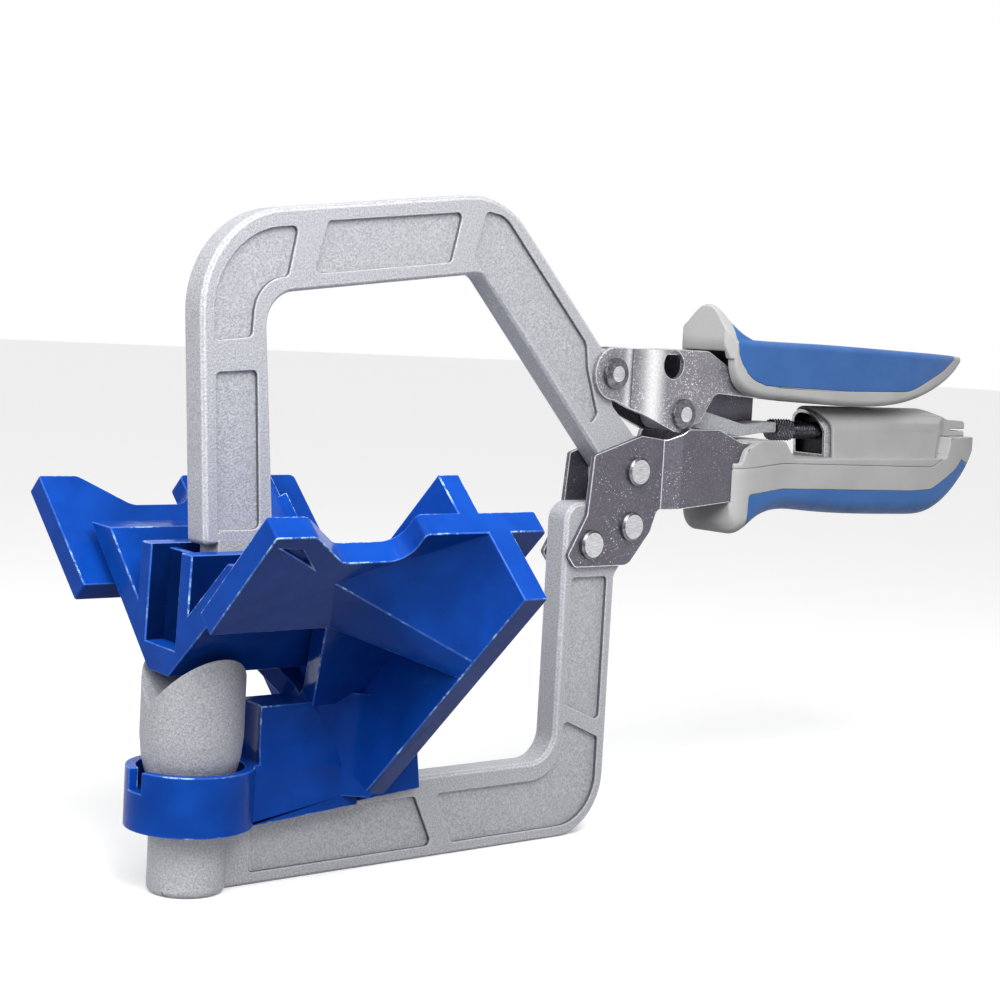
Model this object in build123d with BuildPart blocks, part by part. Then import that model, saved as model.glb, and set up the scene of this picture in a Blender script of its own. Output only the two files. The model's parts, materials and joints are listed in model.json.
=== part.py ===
from build123d import *
import os
from math import sqrt

# Corner clamp, millimetres. X runs along the lower bar towards the handles, Z is up,
# and the clamp is the same on both sides of the plane Y = 0.
# Heights below are counted from a level 8.4 mm under the bottom of the jaw's V. The files
# are written with the origin at the bottom of the V, on the axis of the boss.

# clearances
running = 0.05
slip = 0.2
loose = 0.3

# cast frame
frame_thick = 8.0
frame_edge = 0.8
panel_depth = 1.2
panel_round = 1.4
foot_z = -36.0
bar_depth = 21.3
bar_top = foot_z + bar_depth
upright_out = 130.0
upright_width = 19.0
upright_in = upright_out - upright_width
corner_out_r = 16.0
corner_in_r = 7.5
arm_top = 132.8
rim = 3.0
rim_inner = 5.0
boss_r = 9.15
boss_top = -12.0
boss_edge = 1.6

# pivots, as X and Z in the frame plane
arm_pivot = (134.4, 62.3)
lever_pivot = (124.0, 88.4)
link_pivot = (149.0, 78.1)
jaw_pivot = (9.0, 36.0)
frame_rivet_spots = [(118.6, 42.9), (133.0, 47.5)]
pivot_eye_r = 9.5
lever_eye_r = 6.5
link_eye_r = 4.6
rivet_r = 2.5
rivet_head_r = 3.3
rivet_head_h = 1.5

# plug and collar
plug_r = 12.1
plug_low_r = 9.4
plug_taper = 11.0
notch_z = 8.4
collar_r = 15.1
collar_bottom = -20.4
collar_top = -6.2
key_width = 5.4
key_depth = 5.0
screw_r = 2.5
screw_head_r = 4.4
screw_head_h = 4.0
screw_reach = 9.0

# outer jaw: slants are measured up the wing from the bottom of the V
wing_x0 = -15.5
wing_x1 = 60.0
wing_thick = 5.9
wing_low = 35.3
jaw_span = 132.8
floor_x0 = 30.0
floor_slope_x = 15.7
arch_x0 = -5.0
arch_x1 = 24.5
arch_depth = 9.5
arch_slope = 12.0
pocket_depth = 1.5
fin_x0 = 42.3
fin_thick = 6.8
fin_out = 25.0
wing_high = jaw_span / sqrt(2) - fin_out
fin_low = -9.3
rib_thick = 6.0
rib_in = 11.2
gusset_x0 = 8.0
gusset_low_x = 16.0
gusset_top = 52.3
spine_half = 6.4
saddle_half = 8.0
saddle_ledge = -8.0
brace_x0 = 36.3
brace_out = 6.0
spine_x1 = 64.0
saddle_z0 = -21.5
saddle_z1 = -17.0
spine_top = 7.4

# inner jaw
wedge_x0 = -9.3
wedge_x1 = 34.0
wedge_apex = 11.4
wedge_wall = 6.4
wedge_flat_z = 15.8
wedge_top = 45.6
wedge_floor = 22.2
wedge_rib_in = 6.4
wedge_rib_thick = 4.4
wedge_rib_top = 44.9
jaw_rock = 3.0

# steel plates
plate_thick = 1.5
plate_out_y = 7.4
bend_x = 144.0
bend_len = 4.0
plate_x1 = 196.0
tail_low = 60.5
tail_top = 65.0

# lever
lever_out_y = 5.5
lever_crease = 3.2
lever_bend_x = lever_pivot[0] + rivet_head_r + lever_crease
lever_bend_len = 3.0
lever_x1 = 205.0
lever_hole = (144.6, 91.4)
lever_hole_r = 3.8
web_x0 = 134.5
web_x1 = 159.0
lever_top = 95.6
skirt_x1 = 190.6
skirt_low = 75.4

# fixed handle
grip_x0 = 167.7
grip_x1 = 279.3
grip_low = 50.4
grip_half = 11.0
grip_corner = 4.5
guard_drop = 5.6
collar_x1 = 187.8
collar_z = 71.2
deck_z = 66.2
parting_z = 64.4
tail_z = 72.8

# sleeve on the fixed handle, with the adjuster inside
tube_z = 73.8
tube_r = 7.2
tube_x0 = 206.6
tube_x1 = 258.0
mouth_lean = 6.2
tab_half = 4.5
tab_high = 77.6
slot_high = 0.6
liner_r = 6.1
liner_wall = 0.9
liner_x1 = 256.0
link_gap = 1.1
screw_x0 = 192.6
knurl_len = 7.4
knurl_r = 3.3
thread_r = 2.6
thread_len = 24.0
carriage_x0 = 212.0
carriage_len = 12.0
carriage_travel = 8.8
spring_wire = 1.2
spring_pitch = 5.0

# lever handle
lever_grip_x0 = 162.4
lever_grip_x1 = 272.4
lever_grip_half = 11.3
lever_grip_low = 81.4
lever_grip_high = 99.2
horn_high = 108.6
horn_thick = 2.4
rim_high = 4.6

os.makedirs("parts", exist_ok=True)
root2 = sqrt(2)
half = frame_thick / 2


def write(part, label):
    placed = Pos(0, 0, -notch_z) * part
    placed.label = label
    export_step(placed, f"parts/{label}.step")


def round_outline(corners):
    """A closed outline from corners given as (x, y, radius)."""
    FilletPolyline(*[c[:2] for c in corners], radius=[c[2] for c in corners], close=True)


def on_wing(x, slant, out):
    """A point of the near wing: slant up from the V, out away from its inner face."""
    return Vector(x, -(slant + out) / root2, notch_z + (slant - out) / root2)


def wing_yz(slant, out):
    return tuple(on_wing(0, slant, out))[1:]


def polyhedron(faces):
    return Solid(Shell([Face(Wire.make_polygon(points, close=True)) for points in faces]))


# lower half of the C frame, with its boss
with BuildPart() as lower_arm:
    with BuildSketch(Plane.XZ):
        with BuildLine():
            round_outline([
                (0, foot_z, 2), (upright_out, foot_z, corner_out_r), (upright_out, 34, 3),
                (139, 46, 3), (139, 54, 2), (upright_in, 54, 5), (upright_in, bar_top, corner_in_r),
                (0, bar_top, 2),
            ])
        make_face()
        with Locations(arm_pivot):
            Circle(pivot_eye_r + 0.6, mode=Mode.SUBTRACT)
    extrude(amount=half, both=True)
    for side in (0, -1):
        rim_edges = lower_arm.faces().sort_by(Axis.Y)[side].outer_wire().edges()
        chamfer([e for e in rim_edges if e.center().Z < 36], frame_edge)
    bar_left = 14.7
    bar_right = 64.5
    corner_left = 70.7
    slant_x = 6.5
    panel_low = foot_z + rim
    panel_high = bar_top - rim_inner
    panel_in = upright_in + rim
    panel_out = upright_out - rim
    for side in (-1, 1):
        with BuildSketch(Plane.XZ.offset(-side * half)):
            with BuildLine():
                round_outline([
                    (bar_left, panel_low, panel_round), (bar_right + slant_x, panel_low, panel_round),
                    (bar_right, panel_high, panel_round), (bar_left, panel_high, panel_round),
                ])
            make_face()
            with BuildLine():
                round_outline([
                    (corner_left + slant_x, panel_low, panel_round),
                    (panel_out, panel_low, corner_out_r - rim),
                    (panel_out, -9.8, panel_round), (panel_in, -4.2, panel_round),
                    (panel_in, panel_high, corner_in_r + rim), (corner_left, panel_high, panel_round),
                ])
            make_face()
            with BuildLine():
                round_outline([
                    (panel_in, 0, panel_round), (panel_out, -5.4, panel_round),
                    (panel_out, 34, panel_round), (panel_in, 34, panel_round),
                ])
            make_face()
        extrude(amount=side * panel_depth, mode=Mode.SUBTRACT)
    with BuildSketch(Plane.XZ) as boss_outline:
        with Locations((0, foot_z)):
            Rectangle(boss_r, boss_top - foot_z, align=(Align.MIN, Align.MIN))
        fillet(boss_outline.vertices().sort_by_distance((boss_r, foot_z))[0], boss_edge)
    revolve(axis=Axis.Z)
    with BuildSketch(Plane.XY.offset(collar_bottom - slip)):
        Circle(collar_r + 3 * slip)
        Circle(boss_r, mode=Mode.SUBTRACT)
    extrude(amount=bar_top - collar_bottom + 1, mode=Mode.SUBTRACT)
    with Locations(Location((0, 0, foot_z))):
        Cylinder(screw_head_r + slip, screw_head_h + 1, align=(Align.CENTER, Align.CENTER, Align.MIN),
                 mode=Mode.SUBTRACT)
        Cylinder(screw_r + slip, 60, align=(Align.CENTER, Align.CENTER, Align.MIN), mode=Mode.SUBTRACT)
    for x, z in frame_rivet_spots:
        with Locations(Location((x, 0, z), (90, 0, 0))):
            Cylinder(rivet_r, 2 * frame_thick, mode=Mode.SUBTRACT)
write(lower_arm.part, "lower_arm")

# plug with the 90 degree notch that completes the V of the outer jaw
with BuildPart() as anvil_plug:
    with BuildSketch(Plane.XZ):
        with BuildLine():
            Polyline(
                (0, boss_top), (plug_low_r, boss_top), (plug_low_r, boss_top + 2),
                (plug_low_r + 0.45 * (plug_r - plug_low_r), boss_top + 2 + 0.22 * plug_taper),
                (plug_low_r + 0.8 * (plug_r - plug_low_r), boss_top + 2 + 0.54 * plug_taper),
                (plug_r, boss_top + 2 + plug_taper), (plug_r, boss_top + 34), (0, boss_top + 34), close=True,
            )
        make_face()
    revolve(axis=Axis.Z)
    with BuildSketch(Plane.YZ):
        with BuildLine():
            Polyline((0, notch_z), (30, notch_z + 30), (-30, notch_z + 30), close=True)
        make_face()
    extrude(amount=30, both=True, mode=Mode.SUBTRACT)
    with Locations(Location((0, 0, boss_top))):
        Cylinder(screw_r + slip / 2, screw_reach + 0.5, align=(Align.CENTER, Align.CENTER, Align.MIN),
                 mode=Mode.SUBTRACT)
write(anvil_plug.part, "anvil_plug")

with BuildPart() as anvil_screw:
    with BuildSketch(Plane.XY.offset(foot_z + 1)):
        Circle(screw_head_r)
        RegularPolygon(2.3, 6, mode=Mode.SUBTRACT)
    extrude(amount=screw_head_h)
    with Locations(Location((0, 0, foot_z + 3))):
        Cylinder(screw_r, boss_top + screw_reach - foot_z - 3,
                 align=(Align.CENTER, Align.CENTER, Align.MIN))
write(anvil_screw.part, "anvil_screw")

# blue outer jaw: the near half is built, then mirrored
wing_plane = Plane(origin=(0, 0, notch_z), x_dir=(1, 0, 0), z_dir=(0, -1, -1))
wing_origin = (0, 0, notch_z)
with BuildPart() as outer_jaw:
    with BuildSketch(wing_plane):
        with BuildLine():
            round_outline([
                (wing_x0, wing_high, 0.6), (arch_x0, wing_high, 4),
                (arch_x0 + arch_slope, wing_high - arch_depth, 5), (arch_x1, wing_high - arch_depth, 5),
                (arch_x1, wing_high, 1.5), (wing_x1, wing_high, 1.5), (wing_x1, -6, 0.5), (floor_x0, -6, 0.5),
                (floor_x0, 2, 2), (floor_slope_x, wing_low, 1), (wing_x0, wing_low, 0.6),
            ])
        make_face()
    extrude(amount=wing_thick)
    with BuildSketch(Plane.YZ.offset(fin_x0)):
        with BuildLine():
            Polyline(
                wing_yz(wing_high, 1), wing_yz(wing_high, fin_out), wing_yz(fin_low, fin_out),
                (0, wing_yz(fin_low, fin_out)[1]), (0, notch_z - 1), close=True,
            )
        make_face()
    extrude(amount=fin_thick)
    with BuildSketch(Plane.YZ.offset(fin_x0 - rib_thick + 0.2)):
        with BuildLine():
            Polyline(
                wing_yz(wing_high, 1), wing_yz(wing_high, -rib_in), (0, notch_z + rib_in * root2),
                (0, notch_z - 1), close=True,
            )
        make_face()
    extrude(amount=rib_thick)
    a = on_wing(gusset_x0, gusset_top, wing_thick - 0.5)
    b = on_wing(fin_x0 + 1, wing_high, wing_thick - 0.5)
    c = on_wing(fin_x0 + 1, 45, fin_out)
    d = on_wing(fin_x0 + 1, 38.7, fin_out)
    e = on_wing(gusset_low_x, wing_low, wing_thick - 0.5)
    f = on_wing(fin_x0 + 1, wing_low, wing_thick - 0.5)
    add(polyhedron([(a, b, c), (a, c, d), (a, d, e), (e, d, f), (b, f, d, c), (a, e, f, b)]))
    with BuildSketch(Plane.XY.offset(saddle_z1 + 1)):
        with BuildLine():
            Polyline((brace_x0, -spine_half + 1), (brace_x0, -spine_half), (fin_x0 + 1, -spine_half - brace_out - 1),
                     (fin_x0 + 1, -spine_half + 1), close=True)
        make_face()
    extrude(amount=notch_z - saddle_z1)
    with BuildSketch(Plane(origin=wing_origin, x_dir=(1, 0, 0), z_dir=(0, -1, 1))):
        with BuildLine():
            Polyline((brace_x0, wing_thick - 1), (fin_x0 + 1, wing_thick - 1),
                     (fin_x0 + 1, wing_thick + brace_out + 1), (brace_x0, wing_thick), close=True)
        make_face()
    extrude(amount=gusset_top)
    with BuildSketch(wing_plane.offset(wing_thick)):
        with BuildLine():
            Polyline((-12.3, wing_high - 3.6), (-6.6, wing_high - 4.2), (-0.5, wing_high - 10.7), close=True)
        make_face()
    extrude(amount=-pocket_depth, mode=Mode.SUBTRACT)
    mirror(about=Plane.XZ)
    with BuildSketch(Plane.XZ):
        with BuildLine():
            Polyline(
                (0, saddle_z0), (spine_x1, saddle_z1), (wing_x1 + 1, notch_z - 3), (wing_x1 - 1, notch_z),
                (floor_x0, notch_z), (floor_x0, spine_top), (0, spine_top), close=True,
            )
        make_face()
    extrude(amount=spine_half, both=True)
    with BuildSketch(Plane.YZ):
        with BuildLine():
            Polyline(
                (0, saddle_z0), (saddle_half, saddle_z0), (saddle_half, saddle_ledge),
                (spine_half, saddle_ledge + 5.7), (0, saddle_ledge + 5.7), close=True,
            )
        make_face()
        mirror(about=Plane.YZ)
    extrude(amount=fin_x0 + 1)
    with BuildSketch(Plane.XZ):
        with BuildLine():
            Polyline((0, saddle_z0 - 2), (fin_x0 + 2, saddle_z0 - 2), (fin_x0 + 2, saddle_z0 + 2.9), (0, saddle_z0),
                     close=True)
        make_face()
    extrude(amount=2 * saddle_half, both=True, mode=Mode.SUBTRACT)
    with BuildSketch(Plane.XY.offset(collar_bottom)):
        Circle(collar_r)
    extrude(amount=collar_top - collar_bottom)
    with Locations(Location((0, 0, collar_top))):
        Cylinder(collar_r + 1, 60, align=(Align.CENTER, Align.CENTER, Align.MIN), mode=Mode.SUBTRACT)
    with Locations(Location((0, 0, boss_top))):
        Cylinder(plug_r + 0.5, 60, align=(Align.CENTER, Align.CENTER, Align.MIN), mode=Mode.SUBTRACT)
    Cylinder(boss_r + slip, 200, mode=Mode.SUBTRACT)
    with Locations(Location((-collar_r, 0, collar_top))):
        Box(2 * collar_r - 2 * boss_r, key_width, 2 * key_depth, mode=Mode.SUBTRACT)
    with Locations(Location((0, 0, bar_top))):
        Box(200, frame_thick + 2 * slip, 60, align=(Align.MIN, Align.CENTER, Align.MAX), mode=Mode.SUBTRACT)
write(outer_jaw.part, "outer_jaw")

# upper half of the C frame
with BuildPart() as upper_arm:
    with BuildSketch(Plane.XZ):
        with BuildLine():
            round_outline([
                (-1.2, 45.2, 1.6), (-6.2, arm_top - 11.7, 24), (83.7, arm_top, 24), (119.5, 96.3, 2), (126, 90, 2),
                (125, 80, 2.5), (136, 70, 2), (134.4, 58, 2), (124.0, 63.5, 2), (77.9, arm_top - 20.6, 5),
                (12.9, arm_top - 29, 8), (17.9, 47.8, 1.6),
            ])
        make_face()
        with Locations(arm_pivot):
            Circle(pivot_eye_r)
        with Locations(lever_pivot):
            Circle(lever_eye_r)
    extrude(amount=half, both=True)
    for side in (0, -1):
        rim_edges = upper_arm.faces().sort_by(Axis.Y)[side].outer_wire().edges()
        chamfer([e for e in rim_edges if e.center().X < 118], frame_edge)
    for side in (-1, 1):
        with BuildSketch(Plane.XZ.offset(-side * half)):
            with BuildLine():
                round_outline([
                    (2.1, 47.9, panel_round), (-0.3, arm_top - 47.4, panel_round),
                    (11.2, arm_top - 46.6, panel_round), (13.7, 49.3, panel_round),
                ])
            make_face()
            with BuildLine():
                round_outline([
                    (-1.0, arm_top - 40.2, panel_round), (-2.6, arm_top - 15.4, 20),
                    (21.1, arm_top - 12.6, panel_round), (18.8, arm_top - 24.6, panel_round),
                    (9.9, arm_top - 25.6, 9), (9.4, arm_top - 39, panel_round),
                ])
            make_face()
            with BuildLine():
                round_outline([
                    (29.4, arm_top - 10.9, panel_round), (70.5, arm_top - 5.8, panel_round),
                    (67.5, arm_top - 18.4, panel_round), (25.9, arm_top - 23.6, panel_round),
                ])
            make_face()
            with BuildLine():
                round_outline([
                    (78.1, arm_top - 5, panel_round), (84.6, arm_top - 5.8, 8), (114.9, 96, 4), (115.8, 89.5, 3),
                    (120.2, 77.5, panel_round), (118.1, 74.9, 1), (74.5, arm_top - 16.9, panel_round),
                ])
            make_face()
        extrude(amount=side * panel_depth, mode=Mode.SUBTRACT)
    with BuildSketch(Plane.XZ):
        with Locations(jaw_pivot):
            Circle(lever_eye_r)
        with BuildLine():
            Polyline((2.5, jaw_pivot[1]), (15.5, jaw_pivot[1]), (15.5, 49), (2.5, 49), close=True)
        make_face()
    extrude(amount=half, both=True)
    for (x, z), hole_r in ((arm_pivot, rivet_r + running), (lever_pivot, rivet_r), (jaw_pivot, rivet_r)):
        with Locations(Location((x, 0, z), (90, 0, 0))):
            Cylinder(hole_r, 2 * frame_thick, mode=Mode.SUBTRACT)
write(upper_arm.part, "upper_arm")

# blue inner jaw, a hollow wedge with two ribs; it leans a little on its loose pin
wedge_inner = wedge_apex + wedge_wall * root2
rib_out = wedge_rib_in + wedge_rib_thick
with BuildPart() as inner_jaw:
    with BuildSketch(Plane.YZ.offset(wedge_x0)):
        with BuildLine():
            Polyline(
                (0, wedge_flat_z), (wedge_flat_z - wedge_apex, wedge_flat_z),
                (wedge_top - wedge_apex, wedge_top), (wedge_top - wedge_inner, wedge_top),
                (rib_out, wedge_inner + rib_out), (rib_out, wedge_rib_top),
                (wedge_rib_in, wedge_rib_top), (wedge_rib_in, wedge_floor), (0, wedge_floor), close=True,
            )
        make_face()
        mirror(about=Plane.YZ)
    extrude(amount=wedge_x1 - wedge_x0)
    with Locations(Location((wedge_x0 + 6, 0, wedge_floor - 1))):
        Box(2, 2 * wedge_rib_in + 1, wedge_rib_top - wedge_floor,
            align=(Align.CENTER, Align.CENTER, Align.MIN))
    with Locations(Location((jaw_pivot[0], 0, jaw_pivot[1]), (90, 0, 0))):
        Cylinder(rivet_r + 3 * loose, 2 * rib_out + 2, mode=Mode.SUBTRACT)
rock_axis = Axis((0, 0, jaw_pivot[1]), (1, 0, 0))
write(inner_jaw.part.rotate(rock_axis, jaw_rock), "inner_jaw")

with BuildPart() as jaw_pin:
    with Locations(Location((jaw_pivot[0], 0, jaw_pivot[1]), (90, 0, 0))):
        Cylinder(rivet_r, 2 * rib_out - 1)
write(jaw_pin.part, "jaw_pin")


def rivet_shape(x, z, reach):
    """A rivet along Y with a bevelled head at each end, reach from the middle plane."""
    with BuildPart() as one:
        with BuildSketch(Plane(origin=(x, 0, z), x_dir=(1, 0, 0), z_dir=(0, 0, 1))):
            with BuildLine():
                Polyline(
                    (0, 0), (rivet_r, 0), (rivet_r, reach), (rivet_head_r, reach),
                    (rivet_head_r, reach + 0.35 * rivet_head_h),
                    (0.6 * rivet_head_r, reach + 0.9 * rivet_head_h),
                    (0, reach + rivet_head_h), close=True,
                )
            make_face()
            mirror(about=Plane.XZ)
        revolve(axis=Axis((x, 0, z), (0, 1, 0)))
    return one.part


def joggle(x0, x1, bend_at, length, inner, outer):
    """Plan section of a bent sheet on the near side, inner face first."""
    back = [(x0, -inner), (bend_at, -inner), (bend_at + length, -outer), (x1, -outer)]
    return back + [(x, y - plate_thick) for x, y in reversed(back)]


# steel plates that carry the arm pivot and run back into the fixed handle
plate_in_y = half + 2 * running
with BuildPart() as side_plate_near:
    with BuildSketch(Plane.XY.offset(20)):
        with BuildLine():
            Polyline(*joggle(100, plate_x1, bend_x, bend_len, plate_in_y, plate_out_y), close=True)
        make_face()
    extrude(amount=80)
    with BuildSketch(Plane.XZ):
        with BuildLine():
            round_outline([
                (113.4, 36.9, 2), (110.7, 40.1, 1), (117.0, 50.8, 3), (118.5, 66.7, 1), (135.6, 72.0, 2),
                (144.6, 70.9, 2), (150.5, 74.1, 3), (162.0, 74.1, 4), (171, 70.6, 6), (185, 69.6, 2),
                (187.5, tail_top, 1), (plate_x1, tail_top, 1), (plate_x1, tail_low, 1), (181, tail_low, 3),
                (171, 54.2, 3), (142.8, 51.7, 2), (140.6, 45.8, 3), (132.9, 36.9, 4),
            ])
        make_face()
    extrude(amount=20, both=True, mode=Mode.INTERSECT)
    for x, z in frame_rivet_spots + [arm_pivot]:
        with Locations(Location((x, 0, z), (90, 0, 0))):
            Cylinder(rivet_r, 40, mode=Mode.SUBTRACT)
write(side_plate_near.part, "side_plate_near")
side_plate_far = side_plate_near.part.mirror(Plane.XZ)
write(side_plate_far, "side_plate_far")

plate_reach = plate_in_y + plate_thick
write(rivet_shape(*arm_pivot, plate_reach), "arm_pivot_rivet")
for name, (x, z) in zip(("frame_rivet_low", "frame_rivet_high"), frame_rivet_spots):
    write(rivet_shape(x, z, plate_reach), name)

# pressed lever, a channel that is open below
with BuildPart() as lever_channel:
    with BuildSketch(Plane.XY.offset(60)):
        with BuildLine():
            Polyline(*joggle(110, lever_x1, lever_bend_x, lever_bend_len, plate_in_y, lever_out_y), close=True)
        make_face()
    extrude(amount=50)
    with BuildSketch(Plane.XZ):
        with BuildLine():
            round_outline([
                (124, 95.4, 1), (158, lever_top, 6), (166, 91.5, 4), (176, 90, 2), (lever_x1, 90, 1),
                (lever_x1, 85.5, 1), (178, 83, 1), (161.5, 84, 3), (156, 76, 2), (146.8, 73.0, 3),
                (120, 83.0, 2),
            ])
        make_face()
        with Locations(lever_pivot):
            Circle(lever_eye_r + 0.5)
        with Locations(link_pivot):
            Circle(link_eye_r + 0.6)
        with Locations(lever_hole):
            Circle(lever_hole_r, mode=Mode.SUBTRACT)
    extrude(amount=20, both=True, mode=Mode.INTERSECT)
    mirror(about=Plane.XZ)
    with BuildSketch(Plane.XZ.offset(-lever_out_y)):
        with BuildLine():
            round_outline([
                (160, 86, 1), (skirt_x1, 86, 1), (skirt_x1, skirt_low, 1), (166, skirt_low, 2),
            ])
        make_face()
    extrude(amount=-plate_thick)
    with BuildSketch(Plane.XZ):
        with BuildLine():
            round_outline([
                (web_x0, lever_top - plate_thick, 0.5), (web_x0, lever_top, 0.5), (web_x1 - 1, lever_top, 5),
                (166.5, 91.2, 3), (lever_x1, 90, 0.5), (lever_x1, 90 - plate_thick, 0.5), (165.5, 89.5, 2),
                (web_x1 - 2, lever_top - plate_thick, 3),
            ])
        make_face()
    extrude(amount=lever_out_y + 0.5, both=True)
    for (x, z), hole_r in ((lever_pivot, rivet_r + running), (link_pivot, rivet_r)):
        with Locations(Location((x, 0, z), (90, 0, 0))):
            Cylinder(hole_r, 40, mode=Mode.SUBTRACT)
write(lever_channel.part, "lever_channel")
write(rivet_shape(*lever_pivot, plate_reach + running), "lever_pivot_rivet")
write(rivet_shape(*link_pivot, lever_out_y + plate_thick + running), "link_rivet")

with BuildPart() as toggle_link:
    link_end = screw_x0 - link_gap
    with BuildSketch(Plane.XZ):
        with BuildLine():
            round_outline([
                (149, 82.4, 1), (158, 79.6, 3), (178, 75.4, 8), (link_end - 6, 76.2, 3), (link_end, 76.2, 0.6),
                (link_end, 73.2, 0.6), (link_end - 6, 73.0, 3), (176, 71.9, 6), (156, 74.4, 3), (149, 74.0, 1),
            ])
        make_face()
        with Locations(link_pivot):
            Circle(link_eye_r)
    extrude(amount=3.2, both=True)
    with Locations(Location((link_pivot[0], 0, link_pivot[1]), (90, 0, 0))):
        Cylinder(link_eye_r, 2 * lever_out_y - 2 * slip)
        Cylinder(rivet_r + running, 40, mode=Mode.SUBTRACT)
write(toggle_link.part, "toggle_link")

# adjuster: knurled screw, the carriage that it turns in, their steel channel and the spring
along_x = (0, 90, 0)


def arch(out, low, mode=Mode.ADD):
    """Round top about the adjuster's axis, straight sides down to low."""
    with Locations((0, tube_z)):
        Circle(out, mode=mode)
        Rectangle(2 * out, tube_z - low, align=(Align.CENTER, Align.MAX), mode=mode)


with BuildPart() as adjusting_screw:
    with Locations(Location((screw_x0, 0, tube_z), along_x)):
        Cylinder(knurl_r, knurl_len, align=(Align.CENTER, Align.CENTER, Align.MIN))
        Cylinder(thread_r, knurl_len + thread_len, align=(Align.CENTER, Align.CENTER, Align.MIN))
    chamfer(adjusting_screw.faces().sort_by(Axis.X)[0].outer_wire().edges(), 0.5)
write(adjusting_screw.part, "adjusting_screw")

liner_low = deck_z + running
carriage_r = liner_r - liner_wall - running
with BuildPart() as carriage:
    with BuildSketch(Plane.YZ.offset(carriage_x0)):
        arch(carriage_r, liner_low + liner_wall + running)
        with Locations((0, tube_z)):
            Circle(thread_r + running, mode=Mode.SUBTRACT)
    extrude(amount=carriage_len)
write(carriage.part, "carriage")

with BuildPart() as adjuster_liner:
    with BuildSketch(Plane.YZ.offset(tube_x0 - 1)):
        arch(liner_r, liner_low)
        arch(liner_r - liner_wall, liner_low + liner_wall, mode=Mode.SUBTRACT)
    extrude(amount=liner_x1 - tube_x0 + 1)
    with BuildSketch(Plane.XZ):
        with BuildLine():
            Polyline(
                (tube_x0 - 5, tube_z + 9), (tube_x0 - 1, tube_z + 9), (tube_x0 - 1, tube_z + liner_r),
                (tube_x0 + 2.7, tube_z), (tube_x0 + 3.4, liner_low - 1), (tube_x0 - 5, liner_low - 1), close=True,
            )
        make_face()
    extrude(amount=20, both=True, mode=Mode.SUBTRACT)
write(adjuster_liner.part, "adjuster_liner")

spring_r = carriage_r - spring_wire / 2 - 0.2
spring_x0 = carriage_x0 + carriage_len + spring_wire / 2 + running
spring_x1 = liner_x1 - 1 - carriage_travel - spring_wire
with BuildPart() as carriage_spring:
    with BuildLine() as coil:
        Helix(pitch=spring_pitch, height=spring_x1 - spring_x0, radius=spring_r,
              center=(spring_x0, 0, tube_z), direction=(1, 0, 0))
    with BuildSketch(Plane(origin=coil.line @ 0, x_dir=(1, 0, 0), z_dir=coil.line % 0)):
        Rectangle(spring_wire, spring_wire)
    sweep(path=coil.line, is_frenet=True)
write(carriage_spring.part, "carriage_spring")


def grip_section(x, low, high, wide, corner):
    """A handle's section across X, from low to high, wide to each side."""
    with BuildSketch(Plane.YZ.offset(x)) as section:
        with Locations((0, (low + high) / 2)):
            RectangleRounded(2 * wide, high - low, corner)
    return section.sketch


# fixed handle: a lower shell with its blue skin, and above the parting line the collar, deck and sleeve
block_top = tail_z + 4
handle_sections = [
    grip_section(grip_x0, grip_low - guard_drop + 3.2, block_top, grip_half - 2.2, grip_corner),
    grip_section(grip_x0 + 3.3, grip_low - guard_drop, block_top, grip_half - 0.3, grip_corner),
    grip_section(grip_x0 + 8.3, grip_low - 3, block_top, grip_half, grip_corner),
    grip_section(grip_x0 + 15, grip_low, block_top, grip_half - 0.2, grip_corner),
    grip_section(grip_x0 + 34, grip_low + 0.4, block_top, grip_half - 0.6, grip_corner),
    grip_section(grip_x1 - 33, grip_low - 1.3, block_top, grip_half - 0.2, grip_corner),
    grip_section(grip_x1 - 24, grip_low - 0.8, block_top, grip_half - 0.3, grip_corner),
    grip_section(grip_x1 - 15, grip_low + 2.8, block_top, grip_half - 0.9, grip_corner),
    grip_section(grip_x1 - 7, grip_low + 8.2, block_top, grip_half - 2.2, grip_corner),
    grip_section(grip_x1, grip_low + 15.6, block_top, grip_half - 4.2, grip_corner - 1),
]
with BuildPart() as handle_block:
    loft(handle_sections)
with BuildPart() as upper_zone:
    with BuildSketch(Plane.XZ):
        with BuildLine():
            round_outline([
                (grip_x0 - 5, parting_z - 1.6, 1), (grip_x0 + 9, parting_z - 0.6, 10),
                (grip_x0 + 20, parting_z + 0.4, 20), (grip_x1 - 24, parting_z - 0.7, 8),
                (grip_x1 - 16, parting_z + 3, 5), (grip_x1 - 14.3, tail_z, 1), (grip_x1 - 14.3, 95, 1),
                (grip_x0 - 5, 95, 1),
            ])
        make_face()
    extrude(amount=30, both=True)
with BuildPart() as sky_zone:
    with BuildSketch(Plane.XZ):
        with BuildLine():
            round_outline([
                (grip_x0 - 5, collar_z - 6.4, 1), (grip_x0 + 2.5, collar_z - 6.4, 1),
                (grip_x0 + 4, collar_z - 2.4, 3), (grip_x0 + 9.5, collar_z, 3), (collar_x1, collar_z, 2.4),
                (collar_x1 + 4.3, deck_z, 1), (grip_x1 - 17, deck_z, 1), (grip_x1 - 15, tail_z, 1),
                (grip_x1 + 5, tail_z, 1), (grip_x1 + 5, 100, 1), (grip_x0 - 5, 100, 1),
            ])
        make_face()
    extrude(amount=30, both=True)
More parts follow.
